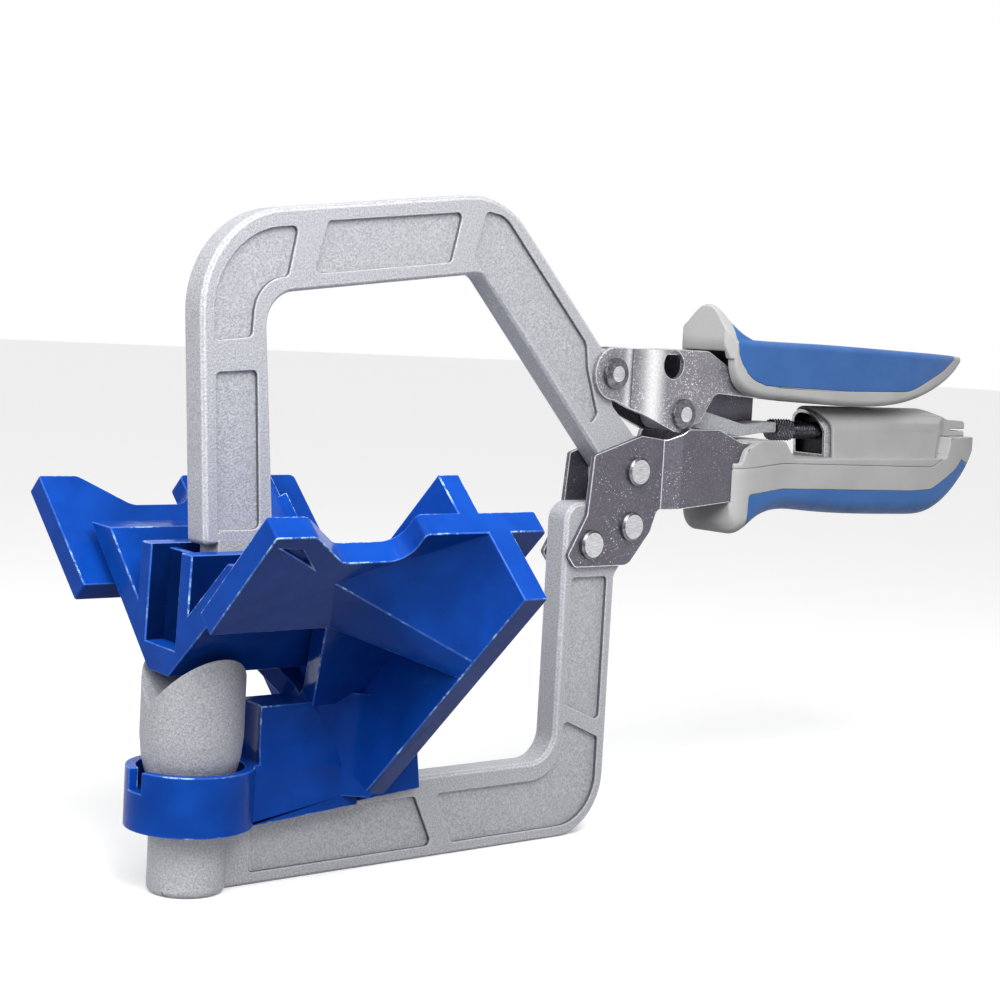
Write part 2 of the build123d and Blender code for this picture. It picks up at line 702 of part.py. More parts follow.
with BuildPart() as skin_zone:
    with BuildSketch(Plane.XZ):
        with BuildLine():
            round_outline([
                (grip_x0 + 5.2, 30, 1), (grip_x0 + 5.8, grip_low + 5.6, 1), (grip_x0 + 20, grip_low + 7.2, 20),
                (grip_x1 - 34, grip_low + 6.1, 20), (grip_x1 - 24, grip_low + 6.5, 10),
                (grip_x1 - 11, grip_low + 12.6, 10), (grip_x1 - 8, grip_low + 15.4, 1),
                (grip_x1 + 5, grip_low + 11, 1), (grip_x1 + 5, 30, 1),
            ])
        make_face()
    extrude(amount=30, both=True)
with BuildPart() as fixed_grip_inlay:
    add(handle_block.part)
    add(skin_zone.part, mode=Mode.INTERSECT)
write(fixed_grip_inlay.part, "fixed_grip_inlay")
with BuildPart() as fixed_grip_shell:
    add(handle_block.part)
    for zone in (skin_zone, upper_zone, sky_zone):
        add(zone.part, mode=Mode.SUBTRACT)
    add(side_plate_near.part, mode=Mode.SUBTRACT)
    add(side_plate_far, mode=Mode.SUBTRACT)
write(fixed_grip_shell.part, "fixed_grip_shell")

with BuildPart() as sleeve:
    with BuildSketch(Plane.YZ.offset(tube_x0)):
        arch(tube_r, parting_z + 1)
    extrude(amount=grip_x1 - 1.7 - tube_x0)
    with BuildSketch(Plane.XZ):
        with BuildLine():
            round_outline([
                (tube_x0 - 0.5, tube_z + 9, 0.5), (tube_x0 + 0.1, tube_z + tube_r, 1),
                (tube_x0 + 5.2, tube_z + 2, 5), (tube_x0 + mouth_lean, deck_z, 0.5),
                (tube_x0 + mouth_lean, parting_z + 1.3, 0.3), (grip_x1 - 14.3, parting_z + 1.3, 0.3),
                (grip_x1 - 14.3, tail_z, 0.3), (grip_x1 - 1.7, tail_z, 0.3), (grip_x1 - 1.7, tab_high, 1.4),
                (grip_x1 - 10, tab_high + 0.2, 6), (tube_x1, tube_z + tube_r, 12), (tube_x1 - 10, tube_z + 9, 1),
            ])
        make_face()
    extrude(amount=30, both=True, mode=Mode.INTERSECT)
    with BuildSketch(Plane.XY.offset(50)):
        with BuildLine():
            round_outline([
                (tube_x0 - 2, -tube_r - 1, 1), (tube_x1, -tube_r - 1, 8), (tube_x1 + 9, -tab_half, 3),
                (grip_x1, -tab_half, 1), (grip_x1, tab_half, 1), (tube_x1 + 9, tab_half, 3),
                (tube_x1, tube_r + 1, 8), (tube_x0 - 2, tube_r + 1, 1),
            ])
        make_face()
    extrude(amount=50, mode=Mode.INTERSECT)
with BuildPart() as grip_tube:
    add(handle_block.part)
    add(upper_zone.part, mode=Mode.INTERSECT)
    add(sky_zone.part, mode=Mode.SUBTRACT)
    add(sleeve.part)
    add(fixed_grip_shell.part, mode=Mode.SUBTRACT)
    with BuildSketch(Plane.YZ.offset(tube_x0 - 8)):
        arch(liner_r + running, deck_z)
    extrude(amount=liner_x1 - tube_x0 + 8, mode=Mode.SUBTRACT)
    with BuildSketch(Plane.XZ):
        with Locations((grip_x1 - 1, tail_z + 2)):
            Rectangle(7.8, slot_high, align=(Align.MAX, Align.CENTER))
    extrude(amount=30, both=True, mode=Mode.SUBTRACT)
    add(side_plate_near.part, mode=Mode.SUBTRACT)
    add(side_plate_far, mode=Mode.SUBTRACT)
write(grip_tube.part, "grip_tube")

# lever handle: grey shell with a horn at the front, and the blue skin on top
lever_sections = [
    grip_section(lever_grip_x0 + 2.6, lever_grip_low + 12, lever_grip_high + 0.6, lever_grip_half - 1.6, 1.6),
    grip_section(lever_grip_x0 + 7, lever_grip_low + 3.8, lever_grip_high + 0.2, lever_grip_half - 0.3, 2),
    grip_section(lever_grip_x0 + 13.5, lever_grip_low + 1.9, lever_grip_high, lever_grip_half, 2),
    grip_section(lever_grip_x0 + 30, lever_grip_low + 1.1, lever_grip_high - 0.1, lever_grip_half, 2),
    grip_section(lever_grip_x1 - 54, lever_grip_low, lever_grip_high - 0.4, lever_grip_half - 0.3, 2),
    grip_section(lever_grip_x1 - 35, lever_grip_low + 1.1, lever_grip_high - 0.8, lever_grip_half - 0.6, 2),
    grip_section(lever_grip_x1 - 19, lever_grip_low + 4.9, lever_grip_high - 1.1, lever_grip_half - 1.6, 2),
    grip_section(lever_grip_x1 - 8, lever_grip_low + 9.4, lever_grip_high - 1.4, lever_grip_half - 3.6, 1.6),
    grip_section(lever_grip_x1, lever_grip_low + 14.2, lever_grip_high - 1.7, lever_grip_half - 6.2, 0.8),
]
with BuildPart() as lever_block:
    loft(lever_sections)
with BuildPart() as horn:
    with BuildSketch(Plane.YZ.offset(lever_grip_x0)):
        with BuildLine():
            Polyline((-10.2, 93.8), (-10.2, 96.5))
            Spline((-10.2, 96.5), (-7.2, 103.2), (0, horn_high), (7.2, 103.2), (10.2, 96.5),
                   tangents=((0, 1), (0, -1)))
            Polyline((10.2, 96.5), (10.2, 93.8), (-10.2, 93.8))
        make_face()
    extrude(amount=12)
    with BuildSketch(Plane.XZ):
        with BuildLine():
            round_outline([
                (lever_grip_x0 + 1.8, 93.8, 0.3), (lever_grip_x0, 98, 8), (lever_grip_x0 + 0.4, horn_high + 0.1, 1),
                (lever_grip_x0 + horn_thick, horn_high + 0.1, 1), (lever_grip_x0 + 4.8, 101.5, 8),
                (lever_grip_x0 + 11.5, lever_grip_high - 0.5, 1), (lever_grip_x0 + 11.5, 93.8, 1),
            ])
        make_face()
    extrude(amount=20, both=True, mode=Mode.INTERSECT)
    with BuildSketch(Plane.XY.offset(90)):
        with BuildLine():
            round_outline([
                (lever_grip_x0 - 0.2, -8.2, 3), (lever_grip_x0 + 4, -10.6, 6), (lever_grip_x0 + 12, -10.9, 1),
                (lever_grip_x0 + 12, 10.9, 1), (lever_grip_x0 + 4, 10.6, 6), (lever_grip_x0 - 0.2, 8.2, 3),
            ])
        make_face()
    extrude(amount=30, mode=Mode.INTERSECT)
with BuildPart() as top_zone:
    with BuildSketch(Plane.XZ):
        with BuildLine():
            rim_z = lever_grip_low + rim_high
            round_outline([
                (lever_grip_x0 + 5.2, 110, 1), (lever_grip_x0 + 3.7, 100.3, 3), (lever_grip_x0 + 4.2, 94, 8),
                (lever_grip_x0 + 8.8, 88.6, 8), (lever_grip_x0 + 15, rim_z + 0.7, 8),
                (lever_grip_x1 - 60, rim_z - 0.1, 20), (lever_grip_x1 - 30, rim_z + 0.3, 20),
                (lever_grip_x1 - 12, rim_z + 7.3, 20), (lever_grip_x1 - 5, rim_z + 11, 1),
                (lever_grip_x1 - 4, 110, 1),
            ])
        make_face()
    extrude(amount=30, both=True)
with BuildPart() as lever_grip_inlay:
    add(lever_block.part)
    add(horn.part)
    add(top_zone.part, mode=Mode.INTERSECT)
    add(lever_channel.part, mode=Mode.SUBTRACT)
write(lever_grip_inlay.part, "lever_grip_inlay")
pocket_half = lever_out_y + plate_thick + 2 * slip
with BuildPart() as lever_grip_shell:
    add(lever_block.part)
    add(horn.part)
    add(top_zone.part, mode=Mode.SUBTRACT)
    with BuildSketch(Plane.YZ.offset(150)):
        with Locations((0, lever_grip_low - 5)):
            Rectangle(2 * pocket_half, lever_top + slip - lever_grip_low + 5, align=(Align.CENTER, Align.MIN))
    extrude(amount=lever_x1 - 150 + slip, mode=Mode.SUBTRACT)
write(lever_grip_shell.part, "lever_grip_shell")
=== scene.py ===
import json
import math

import bmesh
import bpy
from mathutils import Matrix, Vector


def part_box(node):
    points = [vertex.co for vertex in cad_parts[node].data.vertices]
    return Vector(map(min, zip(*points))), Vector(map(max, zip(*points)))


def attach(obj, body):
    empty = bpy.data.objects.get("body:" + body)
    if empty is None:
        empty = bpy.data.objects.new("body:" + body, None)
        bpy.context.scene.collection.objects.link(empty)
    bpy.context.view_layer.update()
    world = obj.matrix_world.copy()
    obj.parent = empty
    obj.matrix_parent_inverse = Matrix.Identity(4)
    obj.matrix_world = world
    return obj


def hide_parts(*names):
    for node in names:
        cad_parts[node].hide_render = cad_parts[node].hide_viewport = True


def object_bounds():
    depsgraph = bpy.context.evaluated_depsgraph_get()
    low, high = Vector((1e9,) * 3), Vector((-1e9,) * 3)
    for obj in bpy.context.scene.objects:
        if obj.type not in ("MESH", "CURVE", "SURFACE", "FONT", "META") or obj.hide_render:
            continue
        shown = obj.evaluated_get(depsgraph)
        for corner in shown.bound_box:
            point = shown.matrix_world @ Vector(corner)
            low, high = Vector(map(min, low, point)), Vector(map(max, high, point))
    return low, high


mm = 0.001
vBottom = 8.4  # height of the V above the level that the CAD heights are counted from

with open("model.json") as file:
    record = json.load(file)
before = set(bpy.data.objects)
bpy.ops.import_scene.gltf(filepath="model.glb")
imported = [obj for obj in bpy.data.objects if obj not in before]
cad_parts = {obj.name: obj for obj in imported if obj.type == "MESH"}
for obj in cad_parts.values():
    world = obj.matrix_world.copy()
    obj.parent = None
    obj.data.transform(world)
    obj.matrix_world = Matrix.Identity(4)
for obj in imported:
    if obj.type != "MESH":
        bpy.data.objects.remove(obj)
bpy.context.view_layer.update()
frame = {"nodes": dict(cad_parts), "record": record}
nodes = frame["nodes"]
print("frame loaded:", len(nodes), "nodes")


def at(x, y, z):
    # a point in the CAD's millimetres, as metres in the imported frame
    return Vector((x, y, z - vBottom)) * mm


def linked(name, data):
    made = bpy.data.objects.new(name, data)
    bpy.context.scene.collection.objects.link(made)
    return made


cameraSet = {
    "place": (-269.4, -415.5, 99.6), "yaw": 40.928, "pitch": -4.678, "roll": -3.131,
    "focal": 2134.6, "width": 1000,  # focal length in pixels of a frame this wide
    "film": 36, "near": 0.01, "far": 20,  # width of the film in mm, and the depth that is seen in metres
}


def aimCamera():
    yaw, pitch, roll = (math.radians(cameraSet[k]) for k in ("yaw", "pitch", "roll"))
    forward = Vector((math.sin(yaw) * math.cos(pitch), math.cos(yaw) * math.cos(pitch), math.sin(pitch)))
    right = Vector((math.cos(yaw), -math.sin(yaw), 0))
    down = forward.cross(right)
    x = right * math.cos(roll) + down * math.sin(roll)
    y = right * math.sin(roll) - down * math.cos(roll)
    camera = linked("camera", bpy.data.cameras.new("camera"))
    turn = Matrix((x, y, -forward)).transposed().to_4x4()
    camera.matrix_world = Matrix.Translation(at(*cameraSet["place"])) @ turn
    camera.data.sensor_width = cameraSet["film"]
    camera.data.lens = cameraSet["film"] * cameraSet["focal"] / cameraSet["width"]
    camera.data.clip_start = cameraSet["near"]
    camera.data.clip_end = cameraSet["far"]
    bpy.context.scene.camera = camera


aimCamera()
print("camera placed")


# materials: sRGB hex colours, made linear here
def colour(hexCode):
    parts = [int(hexCode[i:i + 2], 16) / 255 for i in (0, 2, 4)]
    return [c / 12.92 if c <= 0.04045 else ((c + 0.055) / 1.055) ** 2.4 for c in parts] + [1]


def addNode(tree, kind, links={}, settings={}, values={}):
    # links: input to socket; settings: the node's own options; values: input to fixed value
    node = tree.nodes.new(kind)
    for name, value in settings.items():
        setattr(node, name, value)
    for name, value in values.items():
        node.inputs[name].default_value = value
    for name, socket in links.items():
        tree.links.new(socket, node.inputs[name])
    return node


def startMaterial(name):
    material = bpy.data.materials.new(name)
    material.use_nodes = True
    tree = material.node_tree
    tree.nodes.clear()
    shader = addNode(tree, "ShaderNodeBsdfPrincipled")
    addNode(tree, "ShaderNodeOutputMaterial", {"Surface": shader.outputs[0]})
    return material, tree, shader


def pattern(tree, place, size, span, detail=3, rough=0.5, reach=(0.0, 1.0), stretch=(1, 1, 1)):
    # blotches `size` mm wide: reach[0] where the noise is under span[0], reach[1] where it is over span[1]
    spread = addNode(tree, "ShaderNodeMapping", {"Vector": place}, values={"Scale": stretch}).outputs[0]
    cloud = addNode(tree, "ShaderNodeTexNoise", {"Vector": spread},
                    values={"Scale": 1 / (size * mm), "Detail": detail, "Roughness": rough}).outputs[0]
    limits = {"From Min": span[0], "From Max": span[1], "To Min": reach[0], "To Max": reach[1]}
    return addNode(tree, "ShaderNodeMapRange", {"Value": cloud}, values=limits).outputs[0]


def layered(tree, share, under, over):
    # `over`, a hex colour or a socket, laid on `under` where share is 1
    links, values = {"Factor": share}, {}
    for index, source in ((6, under), (7, over)):  # the Mix node's two colour inputs
        if isinstance(source, str):
            values[index] = colour(source)
        else:
            links[index] = source
    return addNode(tree, "ShaderNodeMix", links, {"data_type": "RGBA"}, values).outputs[2]


def layerShare(tree, place, layer):
    # how much of a layer shows: its own blotches, kept to larger ones or to a band across X, on which
    # highlight and shade are painted
    share = pattern(tree, place, **layer["spread"])
    limits = []
    if "within" in layer:
        limits.append(pattern(tree, place, **layer["within"]))
    if "paintedLightStrip" in layer:
        start, full, end = (v * mm for v in layer["paintedLightStrip"])  # where it fades in, is whole, and has faded out
        x = addNode(tree, "ShaderNodeSeparateXYZ", {0: place}).outputs["X"]
        for outer in (start, end):
            limits.append(addNode(tree, "ShaderNodeMapRange", {"Value": x},
                                  {"interpolation_type": "SMOOTHSTEP"},
                                  {"From Min": outer, "From Max": full}).outputs[0])
    for limit in limits:
        share = addNode(tree, "ShaderNodeMath", {0: share, 1: limit}, {"operation": "MULTIPLY"}).outputs[0]
    return share


def makeFinish(look):
    # two tones through a grain, then thin layers on top, gloss, and relief in millimetres
    material, tree, shader = startMaterial(look["name"])
    place = addNode(tree, "ShaderNodeTexCoord").outputs["Object"]
    tone = layered(tree, pattern(tree, place, **look["grain"]), *look["tones"])
    for layer in look.get("layers", ()):
        tone = layered(tree, layerShare(tree, place, layer), tone, layer["tone"])
    tree.links.new(tone, shader.inputs["Base Color"])
    for name, value in look["sockets"].items():
        shader.inputs[name].default_value = value
    if "gloss" in look:
        tree.links.new(pattern(tree, place, **look["gloss"]), shader.inputs["Roughness"])
    for relief in look["reliefs"]:
        links = {"Height": pattern(tree, place, **relief["spread"])}
        if shader.inputs["Normal"].is_linked:
            links["Normal"] = shader.inputs["Normal"].links[0].from_socket
        raised = addNode(tree, "ShaderNodeBump", links,
                         values={"Strength": relief["strength"], "Distance": relief["depth"] * mm})
        tree.links.new(raised.outputs[0], shader.inputs["Normal"])
    return material


def castLook(name, dark, light, wash="ADAEB4", paintedGlint="ECECEE"):
    # die-cast aluminium, bead blasted: matt pale grey with a sandy grain, and bright facets painted in as
    # glints.
    # A bead mark is 0.1 mm, too fine to show here, so the grain is drawn at 0.5 mm.
    sand = dict(size=0.5, span=(0.36, 0.64), detail=4, rough=0.7)
    return {
        "name": name, "tones": (dark, light), "grain": sand,
        "layers": [{"spread": dict(size=11, span=(0.35, 0.75), reach=(0.0, 0.35)), "tone": wash},
                   {"spread": dict(size=0.34, span=(0.68, 0.74), detail=2, reach=(0.0, 0.7)), "tone": paintedGlint}],
        "sockets": {"Metallic": 0.35, "Roughness": 0.55},
        "reliefs": [{"spread": sand, "depth": 0.1, "strength": 0.9}],
    }


def steelLook(name, dark, light, rough, size=0.8, stretch=(1, 1, 1)):
    # turned, upset or drawn steel: one tone with a faint grain
    grain = dict(size=size, span=(0.3, 0.7), stretch=stretch)
    return {
        "name": name, "tones": (dark, light), "grain": grain,
        "sockets": {"Metallic": 0.9, "Roughness": rough},
        "reliefs": [{"spread": grain, "depth": 0.03, "strength": 0.5}],
    }


def mouldedLook(name, dark, light, rough, sheen=0.0, grainSize=0.35):
    # injection moulded plastic: even colour, a fine spark-eroded grain and a little uneven shine
    return {
        "name": name, "tones": (dark, light), "grain": dict(size=14, span=(0.3, 0.7)),
        "sockets": {"Sheen Weight": sheen, "Specular IOR Level": 0.35},
        "gloss": dict(size=5, span=(0.35, 0.65), detail=4, rough=0.7, reach=(rough - 0.08, rough + 0.08)),
        "reliefs": [{"spread": dict(size=grainSize, span=(0.2, 0.8), rough=0.6),
                     "depth": 0.06, "strength": 0.7}],
    }


# glossy stoving enamel over a casting: slow waves in the film, orange peel and small pale chips
enamelLook = {
    "name": "gloss blue enamel on cast metal", "tones": ("0B3E98", "0F49AC"),
    "grain": dict(size=10, span=(0.3, 0.7)),
    "layers": [{"spread": dict(size=1.3, span=(0.69, 0.73), detail=5, rough=0.75),
                "within": dict(size=22, span=(0.5, 0.62), detail=2), "tone": "6FA3E0"}],
    "sockets": {"Roughness": 0.16, "Specular IOR Level": 0.04},
    "reliefs": [{"spread": dict(size=10, span=(0.2, 0.8)), "depth": 0.3, "strength": 0.5},
                {"spread": dict(size=1.6, span=(0.2, 0.8), detail=2), "depth": 0.05, "strength": 0.4}],
}
# the same enamel along an edge: paler, partly worn through to pale primer in places and partly a painted
# highlight along the edge
wornAndLitEdgeLook = {
    "name": "blue enamel, worn edge with painted highlight", "tones": ("1A4FB4", "2A63C8"),
    "grain": dict(size=4, span=(0.3, 0.7)),
    "layers": [{"spread": dict(size=2.2, span=(0.47, 0.55), detail=5, rough=0.8),
                "within": dict(size=13, span=(0.5, 0.6), rough=0.6, reach=(0.05, 1.0)), "tone": "A9D2F0"}],
    "sockets": {"Roughness": 0.3, "Specular IOR Level": 0.2},
    "reliefs": [{"spread": dict(size=2.2, span=(0.3, 0.7), detail=5, rough=0.8),
                 "depth": 0.05, "strength": 0.5}],
}
# rolled sheet with a dull plating: grey with a violet cast, pinhead sparkles painted as bright specks for
# glints, and faint rubs along the sheet
sheetRubs = dict(size=0.6, detail=5, rough=0.65, stretch=(0.2, 1, 0.5))
sheetLook = {
    "name": "nickel plated sheet steel", "tones": ("4F4D56", "706D78"),
    "grain": dict(size=0.5, span=(0.32, 0.68), rough=0.7),
    "layers": [{"spread": dict(size=7, span=(0.4, 0.8), reach=(0.0, 0.45)), "tone": "6C6974"},
               {"spread": dict(size=0.42, span=(0.655, 0.7), detail=2),
                "within": dict(size=9, span=(0.42, 0.62), reach=(0.15, 1.0)), "tone": "E9E7EC"}],
    "sockets": {"Metallic": 0.7},
    "gloss": dict(sheetRubs, span=(0.3, 0.7), reach=(0.26, 0.42)),
    "reliefs": [{"spread": dict(sheetRubs, span=(0.2, 0.8)), "depth": 0.06, "strength": 0.7}],
}
# the lever is pressed from the same sheet, painted lighter as if lit, with two painted highlight bands along
# its rolled bend and a painted shade line in the crease between them
paintedBandGrain = dict(size=0.7, span=(0.3, 0.6))
litLeverSheetLook = dict(sheetLook, name="nickel plated pressed sheet", tones=("6E6C73", "98969D"), layers=[
    {"spread": dict(size=7, span=(0.4, 0.8), reach=(0.0, 0.45)), "tone": "A4A2A8"},
    # painted glints: bright pinhead specks
    {"spread": dict(size=0.42, span=(0.6, 0.66), detail=2),
     "within": dict(size=9, span=(0.4, 0.6), reach=(0.3, 1.0)), "tone": "F2F1F4"},
    {"spread": dict(paintedBandGrain, reach=(0.7, 1.0)), "paintedLightStrip": (131.0, 137.0, 143.0), "tone": "FBFBFC"},
    {"spread": dict(paintedBandGrain, reach=(0.4, 0.7)), "paintedLightStrip": (126.6, 129.0, 130.2), "tone": "F2F1F4"},
    {"spread": dict(paintedBandGrain, reach=(0.7, 0.9)), "paintedLightStrip": (129.9, 130.3, 130.7), "tone": "4A484D"}])
slotLooks = {
    "frame_casting": castLook("bead blasted cast aluminium", "96979D", "C4C5CA"),
    "plug_casting": castLook("turned cast aluminium", "8E8F95", "B9BAC0", "9FA0A6"),
    "blue_paint": enamelLook,
    "plate_steel": sheetLook,
    "rivet_steel": steelLook("rivet head face, brushed steel", "AFAFB3", "DCDCDF", 0.3, 0.5, (0.3, 1, 2)),
    "pin_steel": steelLook("ground pin steel", "8B8B8F", "A6A6AA", 0.3),
    "link_steel": castLook("tumbled cast steel", "9A9BA0", "C3C4C8"),
    "liner_steel": steelLook("drawn channel steel", "8A8A8F", "C8C8CC", 0.25, 0.5),
    "spring_steel": steelLook("spring wire", "77777C", "96969B", 0.35),
    "black_steel": steelLook("black oxide steel", "1A191C", "4C484F", 0.35, 0.7),
    "screw_steel": steelLook("zinc plated steel", "77787C", "95969A", 0.35),
    "grey_plastic": mouldedLook("grey moulded nylon", "A6A6A6", "B2B2B2", 0.5),
    "blue_skin": mouldedLook("blue soft overmould", "285A9B", "3162A2", 0.55, 0.1, 0.45),
}
edgeLooks = {  # the rounded edges of a slot's pieces, where they are worn or cut, made paler also as a painted highlight along them
    "blue_paint": wornAndLitEdgeLook,
    "frame_casting": castLook("cast aluminium, worn edge with painted highlight", "A8A9AE", "D6D6DA"),
    "plate_steel": steelLook("sheared steel edge with painted highlight", "B4B3B8", "EDEDEF", 0.28),
    "liner_steel": steelLook("sheared channel edge with painted highlight", "C4C4C8", "F2F2F4", 0.25),
}
placeLooks = {  # single faces and pieces that look unlike the rest of their slot, most of them painted shade or painted light
    # painted shade: darker cast aluminium on the walls of the sunk panels
    "sunk corner": castLook("cast aluminium, painted shade in the sunk corners", "4E4F54", "77787D",
                            "606166", "8E8F94"),
    "rivet side": steelLook("rivet head side, dark steel", "4A494D", "7C7B80", 0.25),
    # painted shade: near black steel inside the liner's channel and on the inlay's end in the shell's mouth
    "shade": steelLook("dark greased steel inside the channel", "131215", "2A292D", 0.5),
    # painted light: the lever's lighter sheet with its painted highlight bands
    "lever": litLeverSheetLook,
    # painted shade: darker enamel on the inner jaw's ribs and the web of its pocket
    "pocket": dict(enamelLook, name="blue enamel, painted shade in a pocket", tones=("041A4A", "06225A")),
    "knurl": steelLook("black oxide, worn bright on the ridges", "29282C", "7A767E", 0.35, 0.6),
    # painted shade: darker steel for the carriage deep inside the liner
    "carriage": steelLook("steel block darkened as painted shade", "26252A", "3E3D42", 0.45),
}
# edge finishes: worn or cut edges, paler also as a painted highlight
finishes, wornAndLitEdges, special = (
    {key: makeFinish(look) for key, look in looks.items()} for looks in (slotLooks, edgeLooks, placeLooks))
slotOf = {part["node"]: part["material_slot"] for part in frame["record"]["subparts"]}
for name, slot in slotOf.items():
    mesh = nodes[name].data
    mesh.materials.clear()
    # the carriage takes the darker steel as painted shade
    mesh.materials.append(special["carriage"] if name == "carriage" else finishes[slot])
print("finishes made:", len(bpy.data.materials))


# pieces that stand for a CAD node are copies of its own faces, merged, with their edges rounded
softEdges = {  # node: edge radius in mm, angle in degrees above which an edge is rounded
    "outer_jaw": (0.3, 24), "inner_jaw": (0.3, 24), "lower_arm": (0.3, 32), "upper_arm": (0.3, 32),
    "anvil_plug": (0.4, 40), "side_plate_near": (0.22, 60), "side_plate_far": (0.22, 60),
    "lever_channel": (0.22, 60), "toggle_link": (0.35, 30), "fixed_grip_shell": (0.35, 35),
    "fixed_grip_inlay": (0.3, 35), "grip_tube": (0.35, 35), "lever_grip_shell": (0.35, 35),
    "lever_grip_inlay": (0.3, 35), "adjuster_liner": (0.15, 35),
}
edgeSet = {
    "mergeGap": 0.002, "flatAngle": 0.6,  # mm and degrees, up to which CAD triangles are one face
    "segments": 2, "smoothAngle": 32, "flatWeight": 60,  # steps of a rounding, degrees, pull of flat faces
    # a sheet's upright creases, which get a thin painted highlight: degrees, height in mm, share of the edge
    # that rises, share of the radius
    "creaseAngle": 15, "creaseHeight": 6, "creaseUpright": 0.9, "creaseShare": 0.7,
}
paintedShadeSet = {  # where the painted shade lies, in mm, and how squarely a face has to look along an axis, up to 1
    "sunkDepth": (2.6, 4.1), "pocketDepth": (3, 9), "squarely": 0.9, "roughly": 0.5, "inlayEnd": 0.6,
}


def baked(piece):
    # the piece with its modifiers made real
    graph = bpy.context.evaluated_depsgraph_get()
    made = bpy.data.meshes.new_from_object(piece.evaluated_get(graph), depsgraph=graph)
    piece.modifiers.clear()
    piece.data = made
    return piece


def smoothed(piece):
    # smooth faces between the piece's own corners
    piece.data.shade_smooth()
    piece.data.set_sharp_from_angle(angle=math.radians(edgeSet["smoothAngle"]))
    return piece


def mergedFaces(node):
    # a CAD node's loose triangles as one closed mesh with whole flat faces
    work = bmesh.new()
    work.from_mesh(nodes[node].data)
    bmesh.ops.remove_doubles(work, verts=work.verts, dist=edgeSet["mergeGap"] * mm)
    bmesh.ops.dissolve_limit(work, angle_limit=math.radians(edgeSet["flatAngle"]),
                             verts=work.verts, edges=work.edges)
    mesh = bpy.data.meshes.new(node + "_soft")
    work.to_mesh(mesh)
    work.free()
    return mesh


def bodyOf(node):
    return next(body for body, names in frame["record"]["behaviour"]["bodies"].items() if node in names)


linerMiddle = sum(corner.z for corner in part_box("adjuster_liner")) / 2
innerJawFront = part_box("inner_jaw")[0].x


def isShadedSunkWall(face):
    # the upright walls of the arms' sunk panels, darkened as painted shade
    inside, outside = paintedShadeSet["sunkDepth"]
    depths = [abs(vert.co.y) / mm for vert in face.verts]
    sides = {vert.co.y > 0 for vert in face.verts}
    isWall = abs(face.normal.y) < paintedShadeSet["roughly"] and len(sides) == 1
    return isWall and min(depths) > inside and max(depths) < outside


def isShadedChannelInside(face):
    # the channel's walls that face its own middle, darkened as painted shade
    spot = face.calc_center_median()
    inward = Vector((0, -spot.y, linerMiddle - spot.z))
    return abs(face.normal.x) < paintedShadeSet["roughly"] and face.normal.dot(inward) > 0


def isShadedPocketFace(face):
    # the ribs' sides and the web that closes the pocket between the inner jaw's ribs, darkened as painted
    # shade
    start, end = paintedShadeSet["pocketDepth"]
    depth = (face.calc_center_median().x - innerJawFront) / mm
    isWeb = face.normal.x < -paintedShadeSet["squarely"] and start < depth < end
    return isWeb or abs(face.normal.y) > paintedShadeSet["squarely"]


def isShadedLeverInside(face):
    # the sides of the pressed lever that face each other, which keep the darker plain sheet as painted shade
    isSide = abs(face.normal.y) > paintedShadeSet["roughly"]
    return isSide and face.normal.y * face.calc_center_median().y < 0


def isShadedInlayEnd(face):
    # the end of the soft inlay, in the mouth of the lever's shell, painted as dark steel for shade
    return face.normal.x < -paintedShadeSet["inlayEnd"]


shadedFaces = {  # node: finish and test for its faces that get painted shade: darker walls, pockets and channel insides, and the plain sheet inside the lighter lever
    "upper_arm": (special["sunk corner"], isShadedSunkWall), "lower_arm": (special["sunk corner"], isShadedSunkWall),
    "adjuster_liner": (special["shade"], isShadedChannelInside), "inner_jaw": (special["pocket"], isShadedPocketFace),
    "lever_channel": (finishes["plate_steel"], isShadedLeverInside),
    "lever_grip_inlay": (special["shade"], isShadedInlayEnd),
}


def markRoundEdges(work, angle, creased):
    # edges that stand out are rounded and get the edge finish, worn and with a painted highlight; inner
    # corners stay, but for a sheet's creases, rounded a little as a painted highlight line
    weight = work.edges.layers.float.new("bevel_weight_edge")
    for edge in work.edges:
        turn = math.degrees(edge.calc_face_angle(0))
        rise = abs(edge.verts[0].co.z - edge.verts[1].co.z)
        isUpright = rise > edgeSet["creaseUpright"] * edge.calc_length() > edgeSet["creaseHeight"] * mm
        edge[weight] = 1.0 if edge.is_convex and turn > angle else 0.0
        # a sheet's creases get a thin rounding in the edge finish, a painted highlight line
        if creased and isUpright and not edge.is_convex and edgeSet["creaseAngle"] < turn < angle:
            edge[weight] = edgeSet["creaseShare"]


def softened(node):
    radius, angle = softEdges[node]
    slot = slotOf[node]
    # the lever's outside takes the lighter sheet, painted lit
    plain = special["lever"] if node == "lever_channel" else finishes[slot]
    shaded, isShaded = shadedFaces.get(node, (plain, lambda face: False))
    mesh = mergedFaces(node)
    for material in (plain, wornAndLitEdges.get(slot, plain), shaded):
        mesh.materials.append(material)
    work = bmesh.new()
    work.from_mesh(mesh)
    for face in work.faces:
        face.material_index = 2 if isShaded(face) else 0
    markRoundEdges(work, angle, creased=node.startswith("side_plate"))
    work.to_mesh(mesh)
    work.free()
    piece = linked(node + "_soft", mesh)
    bevel = piece.modifiers.new("round edges", "BEVEL")
    bevel.width, bevel.segments, bevel.limit_method = radius * mm, edgeSet["segments"], "WEIGHT"
    bevel.use_clamp_overlap, bevel.material = False, 1  # the second material, worn and with a painted highlight
    bevel.miter_outer = "MITER_ARC"
    piece = smoothed(baked(piece))
    weight = piece.modifiers.new("flat faces stay flat", "WEIGHTED_NORMAL")
    weight.keep_sharp, weight.weight = True, edgeSet["flatWeight"]
    piece = baked(piece)
    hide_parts(node)
    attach(piece, bodyOf(node))


